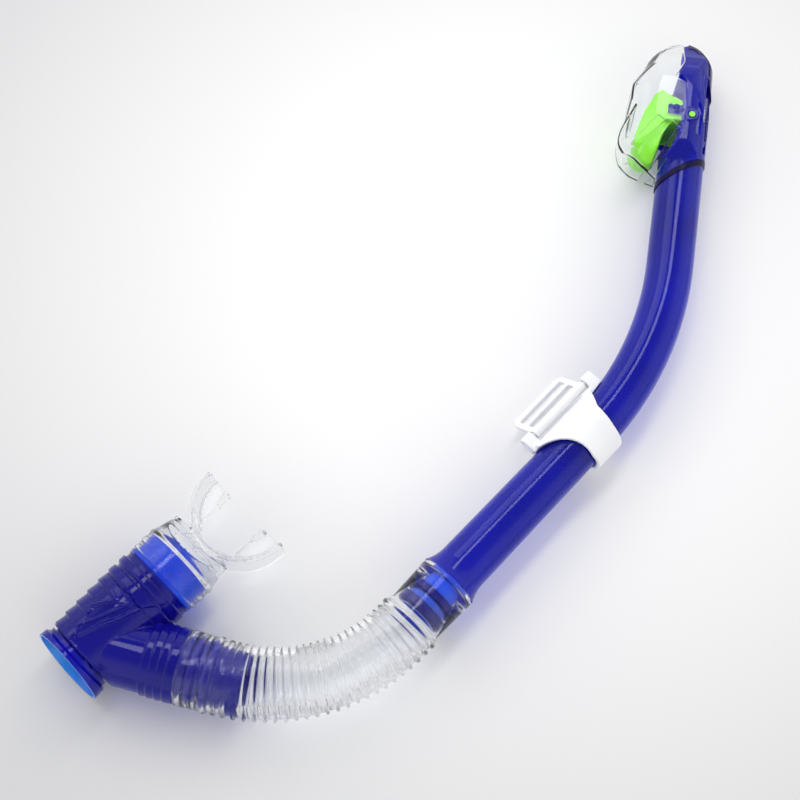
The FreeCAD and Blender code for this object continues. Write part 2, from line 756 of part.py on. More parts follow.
closing = turned(pivot.x, pivot.y, -float_travel).multiply(turned(-pivot.x, -pivot.y, 0))
pad_closed = closing.multVec(pad_rest)
mouth_heading = pad_rest_heading - float_travel
lip_height = 0.8
mouth_centre = pad_closed + heading(mouth_heading) * (size("pad_thickness") / 2 + size("fit_gap") + lip_height)
along_mouth = heading(mouth_heading + 90.0)
mouth_low = mouth_centre - along_mouth * 8.6
mouth_high = mouth_centre + along_mouth * 8.6
pad_back = pad_rest - heading(pad_rest_heading) * (size("pad_thickness") / 2)
face_low = pad_back - heading(pad_rest_heading + 90.0) * 7.2
face_high = pad_back + heading(pad_rest_heading + 90.0) * 7.2


def back_block(name, inset):
    """Rounded outer form of the blue back of the dry top, drawn in by inset."""
    side = slab(name + "_side", [
        ("6", f"-12.3 + {inset}"),
        ("58", f"-12.1 + {inset}", f"78.6 - 0.7 * {inset}", f"-8.0 + 0.7 * {inset}"),
        (f"86.8 - {inset}", "3.4"),
        (f"84.6 - {inset}", "6"),
        ("70", "5"),
        ("59", "8.6"),
        ("43", "4.6"),
        ("40", "12.2"),
        ("28", "12.2"),
        ("22", "5"),
        ("12", "8"),
        ("6", "11"),
    ], "-30", "30")
    half = f"side_width - {inset}"
    across = slab(name + "_across", [
        ("0", f"-({half})"),
        ("16", f"-({half})"),
        ("16", half),
        ("0", half, f"-8.75 + 0.7 * {inset}", f"({half}) * 0.707"),
        (f"-12.35 + {inset}", "0", f"-8.75 + 0.7 * {inset}", f"-({half}) * 0.707"),
    ], "0", "95", "YZ_Plane")
    above = slab(name + "_above", [
        ("4", f"-12.4 + {inset}"),
        ("16", f"-({half})"),
        ("52", f"-({half})", f"76 - 0.7 * {inset}", f"-10.8 + 0.7 * {inset}"),
        (f"87.2 - {inset}", "0", f"76 - 0.7 * {inset}", f"10.8 - 0.7 * {inset}"),
        ("52", half),
        ("16", half),
        ("4", f"12.4 - {inset}"),
    ], "-30", "30", "XZ_Plane")
    return common(name, side, across, above)


dome_area = [("24", "-14"), ("24", "-11.4"), ("50", "-1.6"), ("60", "9"), ("90", "9"), ("90", "-14")]


def duct_outline(inset):
    """Side view of the air duct that leads up the back to the valve mouth."""
    back = heading(mouth_heading) * inset
    points = [
        vector(11.2 + inset, -11.6 + 0.4 * inset), vector(62.0 - inset, -11.6 + 0.4 * inset),
        mouth_high + vector(4.0, -1.4) + back - along_mouth * inset,
        mouth_high + back - along_mouth * inset, mouth_low + back, vector(44.0, -3.4 - inset),
        vector(11.2 + inset, -3.4 - inset),
    ]
    return [(f"{p.x:.3f}", f"{p.y:.3f}") for p in points]


def make_housing():
    """Blue carrier of the dry top: plug, neck, side walls, air duct with the valve mouth, pegs."""
    shell = cut("house_shell", back_block("house_outer", "0"), back_block("house_inner", "shell_wall"))
    dome_side = slab("house_dome_side", dome_area, "-30", "30")
    walls = common("house_walls", cut("house_open", shell, dome_side),
                   joint_block("house_above_ring", "neck_ring_length", "110"))
    neck = cylinder("house_neck", "tube_radius", "40", along(-26.5, 0, 0, (1, 0, 0)))
    neck_part = common("house_neck_part", neck, joint_block("house_above_joint", "neck_ring_length", "60"))
    plug = cylinder("house_plug", "tube_radius - tube_wall - 0.05", "42", along(-28, 0, 0, (1, 0, 0)))
    floor = common("house_floor", slab("house_floor_plate", [
        ("12", "-12"), ("13.6", "-12"), ("13.6", "7"), ("12", "7"),
    ], "-30", "30"), back_block("house_floor_form", "0.1"))
    duct = slab("house_duct", duct_outline(0.0), "-12", "12")
    duct_part = common("house_duct_part", duct, back_block("house_duct_form", "0.9"))
    heading_out = heading(mouth_heading) * -1.0
    lip = cylinder("house_lip", "7.2", f"{lip_height} + 0.4", along(
        mouth_centre.x - heading_out.x * 0.4, mouth_centre.y - heading_out.y * 0.4, 0,
        (heading_out.x, heading_out.y, 0)))
    pegs = cylinder("house_pegs", "peg_radius", "2 * cover_width + 1.0", along(
        size("peg_up"), size("peg_side"), -size("cover_width") - 0.5, (0, 0, 1)))
    bosses = cylinder("house_bosses", "4.2", "2 * side_width + 1.0", along(
        pivot.x, pivot.y, -size("side_width") - 0.5, (0, 0, 1)))
    whole = fuse("house_whole", walls, neck_part, plug, floor, duct_part, lip, pegs, bosses)
    float_room = slab("house_float_room", [
        ("13.6", "-3.4"), ("13.6", "30"), ("80", "30"), ("80", "9"), ("60", "9"), ("47", "-1"), ("40", "-7"),
        ("22", "-7"), ("22", "-3.4"),
    ], "-side_width + shell_wall", "side_width - shell_wall")
    room = cut("house_room", float_room, slab("house_duct_keep", duct_outline(0.0), "-12", "12"), cylinder(
        "house_lip_keep", "7.2", f"{lip_height} + 0.4", lip.Placement))
    duct_room = slab("house_duct_room", duct_outline(1.5), "-10.5", "10.5")
    bore = cylinder("house_bore", "9.4", "41", along(-28.5, 0, 0, (1, 0, 0)))
    mouth = cylinder("house_mouth", "5.6", "8", along(
        mouth_centre.x - heading_out.x * 6.0, mouth_centre.y - heading_out.y * 6.0, 0,
        (heading_out.x, heading_out.y, 0)))
    link = slab("house_link", [("8", "-10.4"), ("16", "-10.4"), ("16", "-4.9"), ("8", "-4.9")], "-7", "7")
    axle_hole = cylinder("house_axle_hole", "axle_radius + 0.05", "60", along(pivot.x, pivot.y, -30, (0, 0, 1)))
    return keep(
        cut("house", whole, room, duct_room, bore, mouth, link, axle_hole), "dry_top_housing", top_frame)


def make_dome():
    """Blue back dome that closes the duct from the top seam to the tip."""
    shell = cut("dome_shell", back_block("dome_outer", "0"), back_block("dome_inner", "shell_wall"))
    area = slab("dome_side", [
        ("24.3", "-14"), ("24.3", "-11.6"), ("50.2", "-1.9"), ("60.2", "8.8"), ("70", "4.9"), ("90", "6"),
        ("90", "-14"),
    ], "-30", "30")
    duct = slab("dome_duct_keep", duct_outline(-0.05), "-12.05", "12.05")
    return keep(cut("dome", common("dome_part", shell, area), duct), "rear_dome", top_frame)


def make_dome_trim():
    """Dark strip along the back edge of the dome."""
    skin = cut("trim_skin", back_block("trim_outer", "-1.0"), back_block("trim_inner", "-0.02"))
    side = slab("trim_side", [("46", "-20"), ("46", "-4"), ("76", "2"), ("90", "3"), ("90", "-20")], "-8", "8")
    band = slab("trim_band", [
        ("45", "-13.4", "62", "-10.6"), ("80", "-4", "84", "1"), ("83", "4"), ("92", "4"), ("92", "-16"),
        ("45", "-16"),
    ], "-8", "8")
    return keep(common("trim", skin, side, band), "dome_trim", top_frame)


def cover_block(name, inset):
    """Rounded outer form of the clear cover, drawn in by inset."""
    half = f"cover_width - {inset}"
    side = slab(name + "_side", [
        (f"87.2 - {inset}", "4", f"81.5 - 0.8 * {inset}", f"16.5 - 0.6 * {inset}"),
        (f"67.5 - 0.5 * {inset}", f"25.8 - 0.9 * {inset}"),
        ("50", f"32.4 - {inset}"),
        ("39.8", f"32.4 - {inset}"),
        ("35.2", f"30.0 - {inset}"),
        ("29", f"32.6 - {inset}", f"18 - 0.2 * {inset}", f"36.2 - {inset}"),
        (f"7.5 + 0.6 * {inset}", f"33.2 - 0.8 * {inset}"),
        (f"1.6 + 0.8 * {inset}", f"24.2 - 0.6 * {inset}"),
        (f"-3.4 + {inset}", "15.2"),
        (f"-4.6 + {inset}", "12.9"),
        (f"-4.6 + {inset}", "-2"),
        (f"87.2 - {inset}", "-2"),
    ], "-30", "30")
    across = slab(name + "_across", [
        ("-3", f"-({half})"),
        ("17", f"-({half})", f"31 - 0.7 * {inset}", f"-13.5 + 0.7 * {inset}"),
        (f"36.8 - {inset}", "0", f"31 - 0.7 * {inset}", f"13.5 - 0.7 * {inset}"),
        ("17", half),
        ("-3", half),
    ], "-20", "95", "YZ_Plane")
    above = slab(name + "_above", [
        (f"-5 + {inset}", f"-8 + {inset}", f"2 + 0.7 * {inset}", f"-15.6 + 0.7 * {inset}"),
        ("16", f"-({half})"),
        ("50", f"-({half})", f"76 - 0.7 * {inset}", f"-12.2 + 0.7 * {inset}"),
        (f"88 - {inset}", "0", f"76 - 0.7 * {inset}", f"12.2 - 0.7 * {inset}"),
        ("50", half),
        ("16", half, f"2 + 0.7 * {inset}", f"15.6 - 0.7 * {inset}"),
        (f"-5 + {inset}", f"8 - {inset}"),
    ], "-40", "40", "XZ_Plane")
    return common(name, side, across, above)


def make_cover():
    """Clear splash cover: snaps on the pegs, drains through two long slots in each side."""
    rim = slab("cover_rim", [
        ("-12", "13.3"), ("-2", "13.3"), ("8", "8"), ("20.5", "3.4"), ("34", "1.8"), ("50.6", "3.4"),
        ("55", "10.8"), ("65", "7"), ("71", "4.6"), ("90", "5.2"), ("90", "40"), ("-12", "40"),
    ], "-30", "30")
    shell = cut("cover_shell", cover_block("cover_outer", "0"), cover_block("cover_inner", "cover_wall"))
    walls = common("cover_walls", shell, rim)
    eyelets = cylinder("cover_eyelets", "3.1", "2 * cover_width + 0.8", along(
        size("peg_up"), size("peg_side"), -size("cover_width") - 0.4, (0, 0, 1)))
    inner = cylinder("cover_eyelet_room", "4", "2 * (cover_width - cover_wall)", along(
        size("peg_up"), size("peg_side"), -size("cover_width - cover_wall"), (0, 0, 1)))
    holes = cylinder("cover_holes", "peg_radius + 0.08", "60", along(
        size("peg_up"), size("peg_side"), -30, (0, 0, 1)))
    slots = []
    for index, (start, end) in enumerate((((26.5, 15.2), (10.5, 27.6)), ((24.5, 7.8), (0.5, 19.6)))):
        a, b = vector(*start), vector(*end)
        run = (b - a).normalize()
        side = vector(-run.y, run.x) * 2.2
        corners = [a - side, b - side, b + side, a + side]
        slots.append(slab(f"cover_slot_{index}", [(f"{p.x:.3f}", f"{p.y:.3f}") for p in corners], "-30", "30"))
    tip_room = back_block("cover_tip_room", "-0.15")
    return keep(cut("cover", fuse("cover_whole", walls, eyelets), inner, holes, tip_room, *slots),
                "splash_cover", top_frame)


def make_float():
    """Buoyant lever: float below, arms round the axle at the side, a face for the valve pad."""
    body = slab("float_body", [
        (f"{face_low.x:.3f}", f"{face_low.y:.3f}"), (f"{face_high.x:.3f}", f"{face_high.y:.3f}"), ("46", "19"),
        ("34", "24.0"), ("19", "27.6", "10", "26.4"), ("4.4", "18.9"), ("5.2", "16.3"), ("15", "14.0"),
        ("27", "11.4"), ("29.4", "6.4"),
    ], "-float_half", "float_half")
    across = slab("float_across", [
        ("4", "-3.5", "9", "-8.6"), ("20", "-float_half"), ("52", "-float_half"), ("52", "float_half"),
        ("20", "float_half", "9", "8.6"), ("4", "3.5"),
    ], "-35", "5", "XZ_Plane")
    yoke = slab("float_yoke", [
        ("29.4", "5.6"), ("41.0", "4.2"), ("43.4", "9.6"), ("28.4", "12.6"),
    ], "-14.3", "14.3")
    arms = slab("float_arms", [
        ("28.6", "-2"), ("35.4", "-2"), ("40", "5"), ("29.4", "7"),
    ], "-14.3", "14.3")
    hubs = cylinder("float_hubs", "3.8", "28.6", along(pivot.x, pivot.y, -14.3, (0, 0, 1)))
    arm_gap = slab("float_arm_gap", [("20", "-9"), ("50", "-9"), ("50", "3.6"), ("20", "3.6")], "-12.4", "12.4")
    arm_part = cut("float_arm_part", fuse("float_arm_solid", arms, hubs), arm_gap)
    hole = cylinder("float_hole", "axle_radius", "60", along(pivot.x, pivot.y, -30, (0, 0, 1)))
    solid = fuse("float_solid", common("float_rounded", body, across), yoke, arm_part)
    return keep(cut("float_whole", solid, hole), "float_lever", top_frame)


def make_axle():
    """Pin of the float lever; its ends show as dots in the housing's side walls."""
    axle = cylinder("axle", "axle_radius", "2 * side_width + 1.6", along(
        pivot.x, pivot.y, -size("side_width") - 0.8, (0, 0, 1)))
    return keep(axle, "float_axle", top_frame)


def make_valve_pad():
    """Soft disc on the lever that shuts the valve mouth."""
    away = heading(pad_rest_heading)
    pad = cylinder("pad", "pad_radius", "pad_thickness", along(pad_back.x, pad_back.y, 0, (away.x, away.y, 0)))
    return keep(pad, "valve_pad", top_frame)


make_barrel()
make_neck_ring()
make_hose()
make_chamber()
make_purge_guard()
make_purge_seat()
make_purge_membrane()
make_swivel_collar()
make_collar_seal()
make_mouthpiece()
make_keeper_band()
make_frame_pin()
make_strap_frame()
make_housing()
make_dome()
make_dome_trim()
make_cover()
make_float()
make_axle()
make_valve_pad()

# ---------------------------------------------------------------- check and write

document.recompute()
failed = [item.Name for item in document.Objects if "Invalid" in item.State or "Error" in item.State]
if failed:
    raise RuntimeError(f"these objects failed: {failed}")
os.makedirs("parts", exist_ok=True)
for label, item in parts.items():
    shape = item.Shape
    if shape.isNull() or not shape.isValid():
        raise RuntimeError(f"{label} has no valid shape")
    shape.exportStep(f"parts/{label}.step")
    print(f"{label:18s} solids {len(shape.Solids)}  volume {shape.Volume:9.1f}")
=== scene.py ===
import itertools
import json
import math

import bpy
import numpy as np
from mathutils import Matrix, Vector


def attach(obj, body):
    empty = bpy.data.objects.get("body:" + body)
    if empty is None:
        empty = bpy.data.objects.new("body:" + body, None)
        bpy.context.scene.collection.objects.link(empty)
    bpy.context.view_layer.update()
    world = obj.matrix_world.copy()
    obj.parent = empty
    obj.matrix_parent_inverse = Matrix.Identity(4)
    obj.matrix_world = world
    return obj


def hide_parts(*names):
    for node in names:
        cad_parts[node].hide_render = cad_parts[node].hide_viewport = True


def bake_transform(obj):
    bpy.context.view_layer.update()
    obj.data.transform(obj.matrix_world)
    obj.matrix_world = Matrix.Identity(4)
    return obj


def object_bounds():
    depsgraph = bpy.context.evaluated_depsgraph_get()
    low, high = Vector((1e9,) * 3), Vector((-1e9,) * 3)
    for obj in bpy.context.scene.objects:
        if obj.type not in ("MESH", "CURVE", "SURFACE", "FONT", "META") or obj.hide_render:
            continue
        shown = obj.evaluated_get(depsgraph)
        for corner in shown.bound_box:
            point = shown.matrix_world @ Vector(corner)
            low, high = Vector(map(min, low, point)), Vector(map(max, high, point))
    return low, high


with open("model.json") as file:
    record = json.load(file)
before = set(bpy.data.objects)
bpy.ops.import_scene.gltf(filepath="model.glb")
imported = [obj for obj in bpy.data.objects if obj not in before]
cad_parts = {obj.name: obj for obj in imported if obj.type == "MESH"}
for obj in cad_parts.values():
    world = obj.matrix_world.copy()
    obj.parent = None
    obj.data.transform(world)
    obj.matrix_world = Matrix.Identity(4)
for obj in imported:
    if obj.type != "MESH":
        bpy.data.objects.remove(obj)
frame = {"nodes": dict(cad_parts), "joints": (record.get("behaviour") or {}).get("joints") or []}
cad_low, cad_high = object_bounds()
MM = 0.001
joints = {joint["name"]: joint for joint in frame["joints"]}


# ---------------------------------------------------------------- places read from the frame

def local_frame(origin, forward):
    """Matrix of a level frame, x along forward and z up, scaled so that its unit is a millimetre."""
    x_axis = Vector(forward).normalized()
    z_axis = Vector((0, 0, 1))
    y_axis = z_axis.cross(x_axis)
    place = Matrix((x_axis, y_axis, z_axis)).transposed().to_4x4()
    place.translation = Vector(origin)
    return place @ Matrix.Scale(MM, 4)


def heading(degrees):
    return Vector((math.cos(math.radians(degrees)), math.sin(math.radians(degrees)), 0))


# hose: a straight cuff, one arc and a second straight cuff
HOSE_RADIUS = 87.4
HOSE_TURN = 61.5
UPPER_STRAIGHT = 32.0
BARREL_BEND = 34.2


def hose_point(share, offset=0.0):
    """Point of the hose's arc in the barrel's frame; share runs from 0 at its top to 1."""
    centre = Vector((-UPPER_STRAIGHT, HOSE_RADIUS, 0))
    return centre + heading(-90 - HOSE_TURN * share) * (HOSE_RADIUS + offset)


barrel_direction = Vector(joints["keeper_slide"]["axis"])
barrel_place = local_frame(joints["hose_bend"]["pos_m"], barrel_direction)
barrel_place = barrel_place @ Matrix.Translation(-hose_point(0.25))
top_place = local_frame(joints["float_swing"]["pos_m"],
                        Matrix.Rotation(math.radians(BARREL_BEND), 3, "Z") @ barrel_direction)
top_place = top_place @ Matrix.Translation((-32.0, 1.0, 0))
chamber_place = local_frame(joints["mouth_swivel"]["pos_m"], joints["mouth_swivel"]["axis"])


# ---------------------------------------------------------------- materials

class Nodes:
    """Short hand for building a node tree."""

    def __init__(self, name):
        self.material = bpy.data.materials.new(name)
        self.material.use_nodes = True
        self.tree = self.material.node_tree
        self.shader = self.tree.nodes["Principled BSDF"]
        self.output = self.tree.nodes["Material Output"]
        self.where = self.tree.nodes.new("ShaderNodeTexCoord").outputs["Object"]

    def add(self, kind, **values):
        node = self.tree.nodes.new(kind)
        for key, value in values.items():
            if key in node.inputs:
                node.inputs[key].default_value = value
            else:
                setattr(node, key, value)
        return node

    def link(self, source, target):
        self.tree.links.new(source, target)

    def noise(self, scale, detail=3.0, roughness=0.5):
        """Noise with a given grain, in waves per metre."""
        node = self.add("ShaderNodeTexNoise", Scale=scale, Detail=detail, Roughness=roughness)
        self.link(self.where, node.inputs["Vector"])
        return node.outputs["Fac"]

    def ramp(self, source, low, high, start=0.0, end=1.0):
        """Colour between low and high as source goes from start to end."""
        node = self.tree.nodes.new("ShaderNodeValToRGB")
        node.color_ramp.elements[0].position = start
        node.color_ramp.elements[1].position = end
        node.color_ramp.elements[0].color = (*low, 1.0)
        node.color_ramp.elements[1].color = (*high, 1.0)
        self.link(source, node.inputs["Fac"])
        return node.outputs["Color"]

    def span(self, source, low, high, start=0.3, end=0.7):
        """Number between low and high as source goes from start to end."""
        node = self.tree.nodes.new("ShaderNodeMapRange")
        for name, value in (("From Min", start), ("From Max", end), ("To Min", low), ("To Max", high)):
            node.inputs[name].default_value = value
        self.link(source, node.inputs["Value"])
        return node.outputs["Result"]

    def bump(self, source, strength, distance):
        node = self.add("ShaderNodeBump", Strength=strength, Distance=distance)
        self.link(source, node.inputs["Height"])
        self.link(node.outputs["Normal"], self.shader.inputs["Normal"])

    def let_light_through(self, colour):
        """Lamps shine through the piece as through thin tinted glass."""
        clear = self.tree.nodes.new("ShaderNodeBsdfTransparent")
        clear.inputs["Color"].default_value = (*colour, 1.0)
        path = self.tree.nodes.new("ShaderNodeLightPath")
        mix = self.tree.nodes.new("ShaderNodeMixShader")
        self.link(path.outputs["Is Shadow Ray"], mix.inputs["Fac"])
        self.link(self.shader.outputs["BSDF"], mix.inputs[1])
        self.link(clear.outputs["BSDF"], mix.inputs[2])
        self.link(mix.outputs["Shader"], self.output.inputs["Surface"])


def tinted_plastic(name, low, high, transmission, light, roughness=(0.03, 0.09)):
    """Clear moulded plastic with a tint: faint flow marks, handling haze and a slightly wavy gloss."""
    nodes = Nodes(name)
    shader = nodes.shader
    nodes.link(nodes.ramp(nodes.noise(22.0, 2.0), low, high, 0.35, 0.65), shader.inputs["Base Color"])
    nodes.link(nodes.span(nodes.noise(60.0, 2.0), *roughness), shader.inputs["Roughness"])
    shader.inputs["Transmission Weight"].default_value = transmission
    shader.inputs["IOR"].default_value = 1.36
    shader.inputs["Specular IOR Level"].default_value = 0.3
    nodes.bump(nodes.noise(45.0, 1.0), 0.03, 0.0006)
    nodes.let_light_through(light)
    return nodes.material


def solid_plastic(name, low, high, roughness, grain, depth, gloss=0.5):
    """Opaque moulded plastic with a fine satin grain and slightly uneven colour."""
    nodes = Nodes(name)
    shader = nodes.shader
    nodes.link(nodes.ramp(nodes.noise(30.0, 3.0), low, high, 0.3, 0.7), shader.inputs["Base Color"])
    nodes.link(nodes.span(nodes.noise(240.0, 3.0), *roughness), shader.inputs["Roughness"])
    shader.inputs["IOR"].default_value = 1.47
    shader.inputs["Specular IOR Level"].default_value = gloss
    nodes.bump(nodes.noise(grain, 3.0, 0.6), 0.15, depth)
    return nodes.material


def clear_plastic(name, tint, light, ior, roughness, wave):
    """Colourless plastic or silicone."""
    nodes = Nodes(name)
    shader = nodes.shader
    shader.inputs["Base Color"].default_value = (*tint, 1.0)
    nodes.link(nodes.span(nodes.noise(120.0, 4.0, 0.6), *roughness), shader.inputs["Roughness"])
    shader.inputs["Transmission Weight"].default_value = 1.0
    shader.inputs["IOR"].default_value = ior
    nodes.bump(nodes.noise(wave, 2.0), 0.1, 0.0006)
    nodes.let_light_through(light)
    return nodes.material


blue = tinted_plastic("tinted_blue", (0.008, 0.012, 0.42), (0.014, 0.022, 0.56), 0.72, (0.30, 0.32, 0.80))
navy = tinted_plastic("tinted_navy", (0.006, 0.004, 0.27), (0.010, 0.008, 0.40), 0.6, (0.22, 0.24, 0.70))
bright_blue = tinted_plastic("bright_blue", (0.010, 0.045, 0.62), (0.03, 0.13, 0.85), 0.45, (0.25, 0.4, 0.9))
clear = clear_plastic("water_clear", (0.965, 0.975, 0.975), (0.86, 0.88, 0.88), 1.28, (0.0, 0.05), 60.0)
silicone = clear_plastic("clear_silicone", (0.94, 0.945, 0.95), (0.80, 0.81, 0.82), 1.24, (0.08, 0.16), 50.0)
hose_silicone = clear_plastic("hose_silicone", (0.97, 0.975, 0.98), (0.86, 0.87, 0.89), 1.30,
                              (0.05, 0.11), 40.0)
# solid light blue for the purge guard's inside: painted light where light shines through the cup
inner_painted_light = solid_plastic("azure_painted_light", (0.005, 0.13, 0.72), (0.03, 0.36, 0.88), (0.15, 0.3), 300.0, 0.00004)
green = solid_plastic("float_green", (0.17, 0.66, 0.015), (0.25, 0.78, 0.03), (0.25, 0.4), 700.0, 0.00005)
white = solid_plastic("satin_white", (0.80, 0.81, 0.84), (0.88, 0.88, 0.90), (0.3, 0.42), 1200.0, 0.00004)
trim = solid_plastic("indigo_trim", (0.012, 0.008, 0.07), (0.02, 0.014, 0.11), (0.15, 0.3), 900.0, 0.00004)
seal = solid_plastic("soft_seal", (0.004, 0.003, 0.03), (0.008, 0.006, 0.045), (0.25, 0.4),
                     900.0, 0.00005, 0.12)

# near-black blue for the spigot's barbs: painted shade where the barbs look dark through the clear cuff
barb_painted_shade = solid_plastic("barb_painted_shade", (0.005, 0.004, 0.13), (0.008, 0.007, 0.18), (0.2, 0.3),
                          300.0, 0.00004, 0.2)

NODE_MATERIALS = {
    "neck_ring": seal, "float_axle": green, "valve_pad": seal,
    "frame_pin": white, "purge_seat": navy, "purge_membrane": silicone, "collar_seal": seal,
}
for name, material in NODE_MATERIALS.items():
    mesh = frame["nodes"][name].data
    mesh.materials.clear()
    mesh.materials.append(material)


# ---------------------------------------------------------------- building pieces

def mesh_piece(name, points, faces, place):
    """Object made of points in a local frame, written out in the row frame."""
    mesh = bpy.data.meshes.new(name)
    mesh.from_pydata([place @ Vector(point) for point in points], [], faces)
    piece = bpy.data.objects.new(name, mesh)
    bpy.context.scene.collection.objects.link(piece)
    return piece


def dress(piece, material):
    piece.data.materials.clear()
    piece.data.materials.append(material)
    piece.data.polygons.foreach_set("use_smooth", [True] * len(piece.data.polygons))
    piece.data.update()


def plain_copy(node, name):
    """Copy of a CAD node, its points written out in the row frame."""
    source = frame["nodes"][node]
    mesh = source.data.copy()
    mesh.transform(source.matrix_world)
    piece = bpy.data.objects.new(name, mesh)
    bpy.context.scene.collection.objects.link(piece)
    return piece


def in_place(points, place):
    matrix = np.array(place)
    return points @ matrix[:3, :3].T + matrix[:3, 3]


def local_points(piece, place):
    """Points of a piece in a local frame."""
    points = np.empty(len(piece.data.vertices) * 3)
    piece.data.vertices.foreach_get("co", points)
    return in_place(points.reshape(-1, 3), place.inverted())


def put_points(piece, local, place):
    piece.data.vertices.foreach_set("co", in_place(local, place).ravel())


def soft_copy(node, name, voxel, rounds, cutter=None):
    """Copy of a CAD node with its corners rounded off, as moulding and polishing leave them."""
    piece = plain_copy(node, name)
    if cutter is not None:
        trimmed = piece.modifiers.new("trimmed", "BOOLEAN")
        trimmed.object = cutter
        trimmed.solver = "EXACT"
    remesh = piece.modifiers.new("remesh", "REMESH")
    remesh.mode = "VOXEL"
    remesh.voxel_size = voxel * MM
    smooth = piece.modifiers.new("smooth", "SMOOTH")
    smooth.factor = 0.5
    smooth.iterations = rounds
    bpy.context.view_layer.update()
    finished = bpy.data.meshes.new_from_object(piece.evaluated_get(bpy.context.evaluated_depsgraph_get()))
    piece.modifiers.clear()
    piece.data = finished
    return piece


def stand_for(piece, node, body, material):
    dress(piece, material)
    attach(piece, body)
    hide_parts(node)


def corner_points(profile, radius):
    """Closed profile with each corner replaced by a short curve of about the given radius."""
    result = []
    count = len(profile)
    for index, corner in enumerate(profile):
        before, after = np.array(profile[index - 1]), np.array(profile[(index + 1) % count])
        corner = np.array(corner)
        back, on = before - corner, after - corner
        reach = min(radius, 0.4 * np.linalg.norm(back), 0.4 * np.linalg.norm(on))
        start = corner + back / np.linalg.norm(back) * reach
        end = corner + on / np.linalg.norm(on) * reach
        for share in (0.0, 0.5, 1.0):
            bend = 2 * share * (1 - share) * corner
            result.append(tuple((1 - share) ** 2 * start + bend + share ** 2 * end))
    return result


def ring_faces(rows, columns, closed):
    """Quads between rows of points, each row a closed ring of columns points."""
    faces = []
    for row in range(rows if closed else rows - 1):
        following = (row + 1) % rows
        for column in range(columns):
            beside = (column + 1) % columns
            faces.append((row * columns + column, row * columns + beside,
                          following * columns + beside, following * columns + column))
    return faces


def lathe(name, profile, place, radius=0.3, columns=128):
    """Ring turned about x from a closed profile of (x, radius) points."""
    rows = corner_points(profile, radius)
    angles = [2 * math.pi * column / columns for column in range(columns)]
    points = [(x, r * math.cos(angle), r * math.sin(angle)) for x, r in rows for angle in angles]
    return mesh_piece(name, points, ring_faces(len(rows), columns, True), place)


# ---------------------------------------------------------------- hose

HOSE_ARC = math.radians(HOSE_TURN) * HOSE_RADIUS
HOSE_MIDDLE = UPPER_STRAIGHT + HOSE_ARC / 2
RIDGES = 22
RIDGE_PITCH = HOSE_ARC / RIDGES
TOP_CREST = 16.9
LOW_CREST = 18.5
RIDGE_HEIGHT = 1.5
HOSE_WALL = 1.4
# one ridge and the dished floor after it: shares of the pitch and of the ridge's height
RIDGE_PROFILE = ((0.02, 0.12), (0.10, 0.75), (0.17, 1.0), (0.33, 1.0), (0.40, 0.75), (0.48, 0.12),
                 (0.60, 0.0), (0.90, 0.0))


def hose_ring(length, radius, columns):
    """Ring of points round the hose's centre line, length millimetres down from its top edge."""
    if length < UPPER_STRAIGHT:
        centre, outward = Vector((-length, 0, 0)), Vector((0, -1, 0))
    elif length < UPPER_STRAIGHT + HOSE_ARC:
        share = (length - UPPER_STRAIGHT) / HOSE_ARC
        centre, outward = hose_point(share), heading(-90 - HOSE_TURN * share)
    else:
        outward = heading(-90 - HOSE_TURN)
        centre = hose_point(1.0) + heading(180 - HOSE_TURN) * (length - UPPER_STRAIGHT - HOSE_ARC)
    for column in range(columns):
        angle = 2 * math.pi * column / columns
        yield centre + outward * radius * math.cos(angle) + Vector((0, 0, radius * math.sin(angle)))


def crest_radius(length):
    share = min(1.0, max(0.0, (length - UPPER_STRAIGHT) / HOSE_ARC))
    return TOP_CREST + (LOW_CREST - TOP_CREST) * share


def ridge_points(first, last):
    """Outer profile over the ridges from first up to last: narrow rounded rings with a dished floor."""
    points = []
    for index in range(first, last):
        start = UPPER_STRAIGHT + index * RIDGE_PITCH
        for share, height in RIDGE_PROFILE:
            length = start + share * RIDGE_PITCH
            points.append((length, crest_radius(length) - RIDGE_HEIGHT * (1 - height)))
    return points


def hose_half(name, rows, start, end):
    """Half of the hose as one skin of (length, radius) rows that starts and ends on the middle of the arc."""
    columns = 144
    points = [point for length, radius in rows for point in hose_ring(length, radius, columns)]
    piece = mesh_piece(name, points, ring_faces(len(rows), columns, False), barrel_place)
    dress(piece, hose_silicone)
    hose_centre(start)
    hose_centre(end)
    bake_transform(piece)
    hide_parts("flex_hose")


def hose_centre(length):
    ring = list(hose_ring(length, 1.0, 2))
    return barrel_place @ ((ring[0] + ring[1]) / 2)


def middle_radii():
    crest = crest_radius(HOSE_MIDDLE)
    return crest - RIDGE_HEIGHT, crest - RIDGE_HEIGHT - HOSE_WALL


